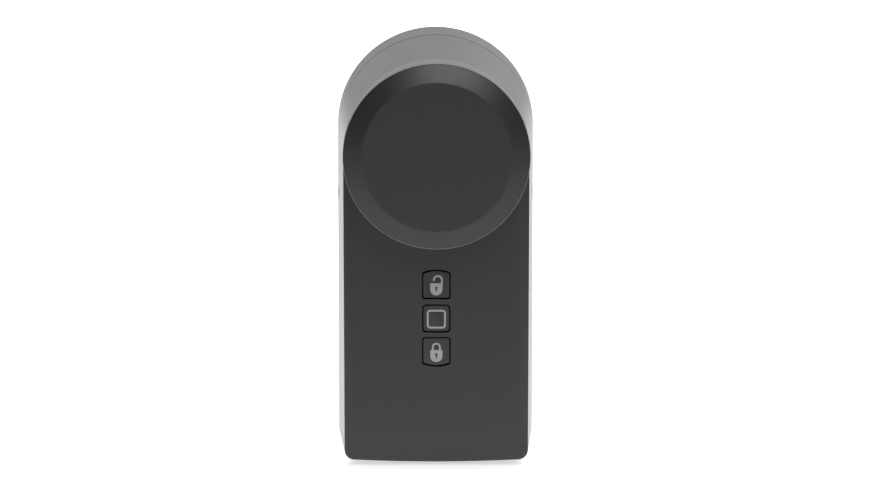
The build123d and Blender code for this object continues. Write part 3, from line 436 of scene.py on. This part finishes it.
def casing_skin(point):
    """Distance of a point from the casing's outer wall, in mm, and the wall's direction there."""
    x, depth, z = point.x / MM, -point.y / MM, point.z / MM
    share = depth / DEEP
    half = HALF_REAR + (HALF_FRONT - HALF_REAR) * share
    if z >= 0:
        reach = math.hypot(x, z)
        half -= brow_dip(z / reach, depth)
        draft = SIDE_DRAFT
        if depth > SEAM:
            draft += brow_dip(z / reach, DEEP) / (DEEP - SEAM)
        return abs(reach - half), Vector((x / reach, -draft, z / reach)).normalized()
    foot = FOOT_REAR + (FOOT_FRONT - FOOT_REAR) * share
    foot_half = HALF_REAR + (HALF_FRONT_FOOT - HALF_REAR) * share
    half += (foot_half - half) * -z / foot
    side = 1 if x > 0 else -1
    low = -foot + BULGE * (x / foot_half) ** 2
    from_x = abs(x) - (half - CORNER)
    from_z = z - (low + CORNER)
    if from_x > 0 and from_z < 0:
        reach = math.hypot(from_x, from_z)
        across, down = from_x / reach, from_z / reach
        lean = -SIDE_DRAFT * across + FOOT_DRAFT * down
        return abs(reach - CORNER), Vector((side * across, lean, down)).normalized()
    if half - abs(x) < z - low:
        return abs(half - abs(x)), Vector((side, -SIDE_DRAFT, 0)).normalized()
    tilt = 2 * BULGE * x / foot_half**2
    return abs(z - low), Vector((tilt, -FOOT_DRAFT, -1)).normalized()


def back_skin(point):
    """The flat mounting face."""
    return abs(point.y) / MM, Vector((0, 1, 0))


def smoothed(piece, skins):
    """Writes the true direction of each skin into the corners of the faces that lie on it."""
    mesh = piece.data
    normals = [Vector(corner.vector) for corner in mesh.corner_normals]
    for face in mesh.polygons:
        for corner in face.loop_indices:
            point = mesh.vertices[mesh.loops[corner].vertex_index].co
            for skin in skins:
                distance, direction = skin(point)
                if distance < ON_SURFACE and direction.dot(face.normal) > SAME_WAY:
                    normals[corner] = direction
                    break
    mesh.normals_split_custom_set([tuple(normal) for normal in normals])
    print(piece.name, "has", len(mesh.polygons), "faces")


# %% [markdown]
# The rear cover and the casing meet in a fine seam, so their edges are nearly sharp there. Their other edges
# are rounder, and the casing's brow is the roundest of them. The seam is drawn 0.3 mm wider than the
# engineering model has it, because a gap that fine fades out in a picture. The deck behind the front cover
# and the faces in the seam get the dark nylon finish as painted shade, so the gaps read dark.

# %% Rear cover, casing and battery door
REAR_SEAM_EDGE, SHELL_SEAM_EDGE = 0.06, 0.05
CASING_EDGE = 0.3
BROW_EDGE = 0.4
DOOR_EDGE = 0.12
SEAM_PULL = 0.15
DECK = 44.7
# How far from the seam or the deck an edge, a corner or a face still belongs to it.
NEAR_SEAM, REAR_SEAM_REACH, SHELL_SEAM_REACH, SEAM_FACE_DEPTH = 0.5, 0.1, 0.4, 15.0
DECK_SKIN, DECK_MARGIN = 0.3, 1.0
FACES_STRAIGHT = 0.9
rear_low, rear_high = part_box("rear_cover")


def rear_radius(point):
    return REAR_SEAM_EDGE if point.y < rear_low.y + NEAR_SEAM * MM else CASING_EDGE


def shell_radius(point):
    """Fine at the seam, and round on the brow that stands over the front cover."""
    if point.y > rear_low.y - NEAR_SEAM * MM:
        return SHELL_SEAM_EDGE
    if point.z < 0 or point.y > -(DECK + DECK_MARGIN) * MM:
        return CASING_EDGE / 2
    return CASING_EDGE / 2 + (BROW_EDGE - CASING_EDGE / 2) * min(1.0, point.z / rear_high.z)


def door_radius(point):
    return DOOR_EDGE


def open_seam(node, build):
    """Draws the seam a little wider than it is, because the true gap is thinner than a fine line."""
    for vert in build.verts:
        if node == "rear_cover" and vert.co.y < rear_low.y + REAR_SEAM_REACH * MM:
            vert.co.y += SEAM_PULL * MM
        if node == "housing_shell" and vert.co.y > rear_low.y - SHELL_SEAM_REACH * MM:
            vert.co.y -= SEAM_PULL * MM


def gets_painted_shade(node, face):
    """True on the deck under the front cover and on the two faces that meet in the seam, which get painted
    shade.
    """
    depth = -face.center.y / MM
    forward = -face.normal.y
    if node == "housing_shell":
        on_deck = forward > FACES_STRAIGHT and depth < DECK + DECK_SKIN
        in_seam = forward < -FACES_STRAIGHT and depth < SEAM_FACE_DEPTH
        return on_deck or in_seam
    return node == "rear_cover" and forward > FACES_STRAIGHT


radii = {"rear_cover": rear_radius, "housing_shell": shell_radius, "battery_door": door_radius}
for node, radius_at in radii.items():
    build = copied(node)
    if node == "housing_shell":
        dip_brow(build)
    open_seam(node, build)
    piece = rounded(node, build, radius_at)
    smoothed(piece, [casing_skin, back_skin])
    stands_for(piece, node)
    # A second slot with the dark nylon: painted shade on the deck behind the front cover and in the seam.
    piece.data.materials.append(nylon)
    for face in piece.data.polygons:
        if gets_painted_shade(node, face):
            face.material_index = 1

# %% [markdown]
# The front cover is flat, with soft creases where its sides and its foot fall away. Its foot edge is the
# roundest edge of the object, and it fades from the grey of the field to black.

# %% Front cover
FIELD = round(-cover_low.y / MM, 3)
FIELD_EDGE, FIELD_TOE = 46.1, 45.7
FIELD_HALF, TOE_CREASE, SOFT = 22.8, -81.6, 1.2
FOOT_EDGE, SIDE_EDGE, HOLE_EDGE = 0.85, 0.3, 0.1
INSIDE, ABOVE_CORNER = 0.6, 1.0


def soft_fall(past, run, drop):
    """Depth lost, and slope, at a distance past a soft crease."""
    slope = drop / run
    if past <= -SOFT:
        return 0.0, 0.0
    if past >= SOFT:
        return slope * past, slope
    share = (past + SOFT) / (2 * SOFT)
    return slope * SOFT * share**2, slope * share


def cover_skin(point):
    """Distance from the cover's front, in mm, and its direction there."""
    x, depth, z = point.x / MM, -point.y / MM, point.z / MM
    side_fall, side_slope = soft_fall(abs(x) - FIELD_HALF, HALF_FRONT - FIELD_HALF, FIELD - FIELD_EDGE)
    toe_fall, toe_slope = soft_fall(TOE_CREASE - z, TOE_CREASE + FOOT_FRONT, FIELD - FIELD_TOE)
    if side_fall > toe_fall:
        away = math.copysign(side_slope, x)
        return abs(FIELD - side_fall - depth), Vector((away, -1, 0)).normalized()
    return abs(FIELD - toe_fall - depth), Vector((0, -1, -toe_slope)).normalized()


def cover_radius(point):
    """Rounder towards the foot, nearly sharp at the keys and behind."""
    depth, z = -point.y / MM, point.z / MM
    if depth < DECK + DECK_SKIN:
        return HOLE_EDGE / 2
    if casing_skin(point)[0] > INSIDE:
        return HOLE_EDGE
    past_corner = min(1.0, max(0.0, (CORNER - FOOT_FRONT - z + ABOVE_CORNER) / CORNER))
    return SIDE_EDGE + (FOOT_EDGE - SIDE_EDGE) * past_corner


cover = rounded("front_cover", copied("front_cover"), cover_radius)
smoothed(cover, [cover_skin, casing_skin])
stands_for(cover, "front_cover")
print("field of the front cover in mm:", round(FIELD, 2))

# %% [markdown]
# ## Handwheel
# The handwheel is round, so both of its mouldings are turned profiles: a list of corners in the half section,
# each with its own small radius, spun about the axis. A spun mesh is exactly round and its rim shows no
# corners, which a coarser solid would.

# %% Turned profiles
TURNED_SEGMENTS = 240
TURNED_SHARP = math.radians(40)
# An arc at a corner takes a little less than half of each side next to it.
SIDE_SPLIT = 2.1


def rounded_profile(corners, steps=5):
    """Replaces each corner (radius from the axis, y, rounding) by a short arc, all in metres."""
    points = []
    count = len(corners)
    for index, (radius, y, rounding) in enumerate(corners):
        here = Vector((radius, y))
        before = Vector(corners[index - 1][:2]) - here
        after = Vector(corners[(index + 1) % count][:2]) - here
        if rounding == 0 or before.length == 0 or after.length == 0:
            points.append(here)
            continue
        reach = min(rounding, before.length / SIDE_SPLIT, after.length / SIDE_SPLIT)
        start = here + before.normalized() * reach
        end = here + after.normalized() * reach
        for step in range(steps + 1):
            t = step / steps
            points.append((1 - t) ** 2 * start + 2 * t * (1 - t) * here + t**2 * end)
    return points


def turned(name, corners):
    """A solid of revolution about the Y axis. A closed half section gives a closed mesh."""
    profile = rounded_profile(corners)
    build = bmesh.new()
    rings = []
    for point in profile:
        if point.x < WELD:
            rings.append([build.verts.new((0, point.y, 0))] * TURNED_SEGMENTS)
            continue
        ring = []
        for index in range(TURNED_SEGMENTS):
            angle = 2 * math.pi * index / TURNED_SEGMENTS
            ring.append(build.verts.new((point.x * math.cos(angle), point.y, point.x * math.sin(angle))))
        rings.append(ring)
    for first, second in zip(rings, rings[1:] + rings[:1]):
        for index in range(TURNED_SEGMENTS):
            following = (index + 1) % TURNED_SEGMENTS
            corners_of_face = [first[index], first[following], second[following], second[index]]
            unique = list(dict.fromkeys(corners_of_face))
            if len(unique) > 2:
                build.faces.new(unique).smooth = True
    bmesh.ops.recalc_face_normals(build, faces=build.faces)
    mesh = bpy.data.meshes.new(name)
    build.to_mesh(mesh)
    build.free()
    mesh.set_sharp_from_angle(angle=TURNED_SHARP)
    piece = bpy.data.objects.new(name, mesh)
    bpy.context.scene.collection.objects.link(piece)
    return piece


# %% [markdown]
# The disc is a shallow dish turned upside down: a flat field, a bevel all round it and a thin edge that sits
# in the grey ring. A skirt behind it locates it in the ring.

# %% Handwheel disc
FIELD_RADIUS = 21.8 * MM
SKIN = 1.6 * MM
RIM_STEP = 2.0 * MM
SEAT_DEPTH = 1.5 * MM
SKIRT_OUTER = 24.4 * MM
SKIRT_INNER = 21.2 * MM
LIP = 0.15 * MM
DISC_PLAY = 0.03 * MM

disc_radius = shell_high.x - LIP - DISC_PLAY
disc_face = cap_low.y
disc_rim = disc_face + RIM_STEP
disc_seat = disc_rim + SEAT_DEPTH
disc_corners = [
    (0, disc_face, 0),
    (FIELD_RADIUS, disc_face, 0.4 * MM),
    (disc_radius, disc_rim, 0.12 * MM),
    (disc_radius, disc_seat, 0.1 * MM),
    (SKIRT_OUTER, disc_seat, 0),
    (SKIRT_OUTER, cap_high.y, 0.3 * MM),
    (SKIRT_INNER, cap_high.y, 0.3 * MM),
    (SKIRT_INNER, disc_face + SKIN, 0.3 * MM),
    (0, disc_face + SKIN, 0),
]
disc = turned("handwheel_disc", disc_corners)
disc.data.materials.append(anthracite)
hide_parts("handwheel_cap")
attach(disc, "handwheel")
print("disc radius in mm:", round(disc_radius / MM, 2))

# %% [markdown]
# The grey ring is the part that the hand grips. It opens out slightly towards the front, and its front edge
# is a lip 0.15 mm wide that frames the disc.

# %% Handwheel ring
RING_REAR_RADIUS = 26.8 * MM
RING_BORE = 24.6 * MM
WEB_FRONT = 53.9 * MM
WEB_REAR = 51.9 * MM

ring_radius = shell_high.x
ring_corners = [
    (0, -WEB_REAR, 0),
    (RING_BORE, -WEB_REAR, 0.4 * MM),
    (RING_BORE, shell_high.y, 0.2 * MM),
    (RING_REAR_RADIUS, shell_high.y, 0.35 * MM),
    (ring_radius, shell_low.y, 0.14 * MM),
    (ring_radius - LIP, shell_low.y, 0.05 * MM),
    (ring_radius - LIP, disc_seat, 0),
    (RING_BORE, disc_seat, 0),
    (RING_BORE, -WEB_FRONT, 0.4 * MM),
    (0, -WEB_FRONT, 0),
]
grip_ring = turned("handwheel_ring", ring_corners)
grip_ring.data.materials.append(lacquer)
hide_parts("handwheel_shell")
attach(grip_ring, "handwheel")
print("ring radius in mm:", round(ring_radius / MM, 2))

# %% [markdown]
# ## Keys
# Each key is a small square button whose rim the model already rounds. A hair of extra rounding on its other
# edges is enough.

# %% Round the keys
KEY_EDGE = 0.08


def key_radius(point):
    return KEY_EDGE


for key in ("unlock_button", "open_button", "lock_button"):
    stands_for(rounded(key, copied(key), key_radius), key)
print("rounded three keys")

# %% [markdown]
# ## White table
# The object stands on a sheet of opal acrylic that is lit from below. The front cover mirrors the table in
# front of it and the pale sides mirror the table behind, so the glow is set separately for the two. It fades
# towards the camera, which makes the cover a little darker at the top than at the foot. Under the object the
# glow is turned down, which paints a shadow on the table: a thin dark line where the object stands. These
# levels are set for the look of the picture and are not those of a real table.

# %% White table
TABLE_HALF = 4.0
FRONT_GLOW, REAR_GLOW = 0.74, 0.7
FRONT_FADE = (-0.34, -0.078)
REAR_RISE = (-0.045, 0.01)
FAR_FADE = (0.8, 1.8)
# The footprint where the glow is turned down as a painted shadow, how soft its edge is and how dark it gets.
FOOTPRINT_HALF = (0.0235, 0.017)
FOOTPRINT_MIDDLE = -0.0165
PAINTED_SHADOW_EDGE = 0.0045
PAINTED_SHADOW_SHARE = 0.62


def make_table():
    """A sheet of opal acrylic lit from below. Its glow is turned down under the object as a painted shadow,
    and it is dim far in front.
    """
    mesh = bpy.data.meshes.new("table")
    z = object_low.z
    corners = [(-TABLE_HALF, -TABLE_HALF, z), (TABLE_HALF, -TABLE_HALF, z)]
    corners += [(TABLE_HALF, TABLE_HALF, z), (-TABLE_HALF, TABLE_HALF, z)]
    mesh.from_pydata(corners, [], [(0, 1, 2, 3)])
    table = bpy.data.objects.new("table", mesh)
    bpy.context.scene.collection.objects.link(table)
    material, tree, shader = new_material("opal_acrylic_table", Roughness=0.9)
    shader.inputs["Base Color"].default_value = linear("#ebebeb")
    shader.inputs["Emission Color"].default_value = (1, 1, 1, 1)
    place = add(tree, "ShaderNodeTexCoord").outputs["Object"]
    parts = add(tree, "ShaderNodeSeparateXYZ", {"Vector": place})
    soft = {"interpolation_type": "SMOOTHSTEP"}

    along = {"Value": parts.outputs["Y"]}
    front_span = {"From Min": FRONT_FADE[0], "From Max": FRONT_FADE[1], "To Max": FRONT_GLOW}
    front = add(tree, "ShaderNodeMapRange", along | front_span, **soft).outputs["Result"]
    rear_span = {"From Min": REAR_RISE[0], "From Max": REAR_RISE[1], "To Max": REAR_GLOW}
    rear = add(tree, "ShaderNodeMapRange", along | rear_span, **soft).outputs["Result"]
    far_span = {"From Min": FAR_FADE[0], "From Max": FAR_FADE[1], "To Min": 1.0, "To Max": 0.0}
    far = add(tree, "ShaderNodeMapRange", along | far_span, **soft).outputs["Result"]
    near = add(tree, "ShaderNodeMath", {0: front, 1: rear}, operation="ADD").outputs["Value"]
    glow = add(tree, "ShaderNodeMath", {0: near, 1: far}, operation="MULTIPLY").outputs["Value"]

    # Painted shadow: the glow is turned down inside the object's footprint, so a dark line shows where it
    # stands.
    shift_sockets = {0: parts.outputs["Y"], 1: FOOTPRINT_MIDDLE}
    shifted = add(tree, "ShaderNodeMath", shift_sockets, operation="SUBTRACT").outputs["Value"]
    from_x = add(tree, "ShaderNodeMath", {0: parts.outputs["X"]}, operation="ABSOLUTE").outputs["Value"]
    from_y = add(tree, "ShaderNodeMath", {0: shifted}, operation="ABSOLUTE").outputs["Value"]
    beside = add(tree, "ShaderNodeMath", {0: from_x, 1: FOOTPRINT_HALF[0]}, operation="SUBTRACT")
    before = add(tree, "ShaderNodeMath", {0: from_y, 1: FOOTPRINT_HALF[1]}, operation="SUBTRACT")
    outside_sockets = {0: beside.outputs["Value"], 1: before.outputs["Value"]}
    outside = add(tree, "ShaderNodeMath", outside_sockets, operation="MAXIMUM").outputs["Value"]
    painted_shadow_sockets = {"Value": outside, "From Max": PAINTED_SHADOW_EDGE, "To Min": PAINTED_SHADOW_SHARE}
    painted_shadow = add(tree, "ShaderNodeMapRange", painted_shadow_sockets, **soft).outputs["Result"]

    strength = add(tree, "ShaderNodeMath", {0: glow, 1: painted_shadow}, operation="MULTIPLY").outputs["Value"]
    tree.links.new(strength, shader.inputs["Emission Strength"])
    mesh.materials.append(material)
    return table


table = make_table()
print("the table's top is at", round(object_low.z / MM, 2), "mm")

# %% [markdown]
# ## Light tent
# The object stands in a tent of white cloth, which is the world here. The back is white and the sides are
# paler than the corners, which draws the bright edges of the casing. The patch straight in front, where the
# camera looks in, is dim, and that keeps the front deep grey. The right side is a little brighter than the
# left.

# %% Light tent
BACK_LIGHT = 1.05
SIDE_LIGHT = 0.5
CORNER_LIGHT = 0.05
FRONT_LIGHT = 0.36
ROOF_LIGHT = 0.75
LEFT_SHARE, RIGHT_SHARE = 0.82, 1.05
HORIZON_SHARE = 0.75
# Brightness from straight in front (0) through the sides (0.5) towards the back.
AROUND = [(0.0, FRONT_LIGHT), (0.10, CORNER_LIGHT), (0.28, CORNER_LIGHT), (0.5, SIDE_LIGHT), (0.62, 1.0)]
# Heights, as the Z of a direction, over which the roof takes over and the horizon brightens.
ROOF_SPAN = (0.2, 0.7)
HORIZON_SPAN = (-0.05, 0.25)


def make_tent():
    """A world with a dim patch straight in front, dark corners, pale sides and a white back."""
    world = bpy.data.worlds.new("light tent")
    world.use_nodes = True
    bpy.context.scene.world = world
    tree = world.node_tree
    direction = add(tree, "ShaderNodeTexCoord").outputs["Generated"]
    parts = add(tree, "ShaderNodeSeparateXYZ", {"Vector": direction})
    turn_sockets = {"Value": parts.outputs["Y"], "From Min": -1.0, "From Max": 1.0}
    turn = add(tree, "ShaderNodeMapRange", turn_sockets).outputs["Result"]
    around = add(tree, "ShaderNodeValToRGB", {"Fac": turn})
    ramp = around.color_ramp
    while len(ramp.elements) < len(AROUND):
        ramp.elements.new(0.5)
    for element, (place, level) in zip(ramp.elements, AROUND):
        element.position = place
        element.color = (level, level, level, 1)

    soft = {"interpolation_type": "SMOOTHSTEP"}
    height = {"Value": parts.outputs["Z"]}
    roof_span = {"From Min": ROOF_SPAN[0], "From Max": ROOF_SPAN[1]}
    roof_span |= {"To Min": BACK_LIGHT, "To Max": ROOF_LIGHT}
    above = add(tree, "ShaderNodeMapRange", height | roof_span, **soft).outputs["Result"]
    horizon_span = {"From Min": HORIZON_SPAN[0], "From Max": HORIZON_SPAN[1], "To Min": HORIZON_SHARE}
    horizon = add(tree, "ShaderNodeMapRange", height | horizon_span, **soft).outputs["Result"]
    side_sockets = {"Value": parts.outputs["X"], "From Min": -1.0}
    side_sockets |= {"To Min": LEFT_SHARE, "To Max": RIGHT_SHARE}
    across = add(tree, "ShaderNodeMapRange", side_sockets, **soft).outputs["Result"]
    upright = add(tree, "ShaderNodeMath", {0: above, 1: horizon}, operation="MULTIPLY").outputs["Value"]
    strength = add(tree, "ShaderNodeMath", {0: upright, 1: across}, operation="MULTIPLY").outputs["Value"]
    background = tree.nodes["Background"]
    tree.links.new(around.outputs["Color"], background.inputs["Color"])
    tree.links.new(strength, background.inputs["Strength"])
    return world


tent = make_tent()
print("made the", tent.name)

# %% [markdown]
# ## Softbox
# One square lamp hangs above the camera, a little to the right. It brightens the upper bevel of the handwheel
# and lays the wheel's soft shadow on the front cover.

# %% Softbox
SOFTBOX_PLACE = (0.12, -0.75, 0.62)
SOFTBOX_SIZE = 0.6
SOFTBOX_WATTS = 4.5


def add_softbox(name, place, size, power):
    """A square lamp that faces the object."""
    data = bpy.data.lights.new(name, "AREA")
    data.size = size
    data.energy = power
    lamp = bpy.data.objects.new(name, data)
    bpy.context.scene.collection.objects.link(lamp)
    lamp.location = place
    lamp.rotation_euler = (AIM - Vector(place)).to_track_quat("-Z", "Y").to_euler()
    return lamp


softbox = add_softbox("overhead_softbox", SOFTBOX_PLACE, SOFTBOX_SIZE, SOFTBOX_WATTS)
print("lit by the tent and", softbox.name)
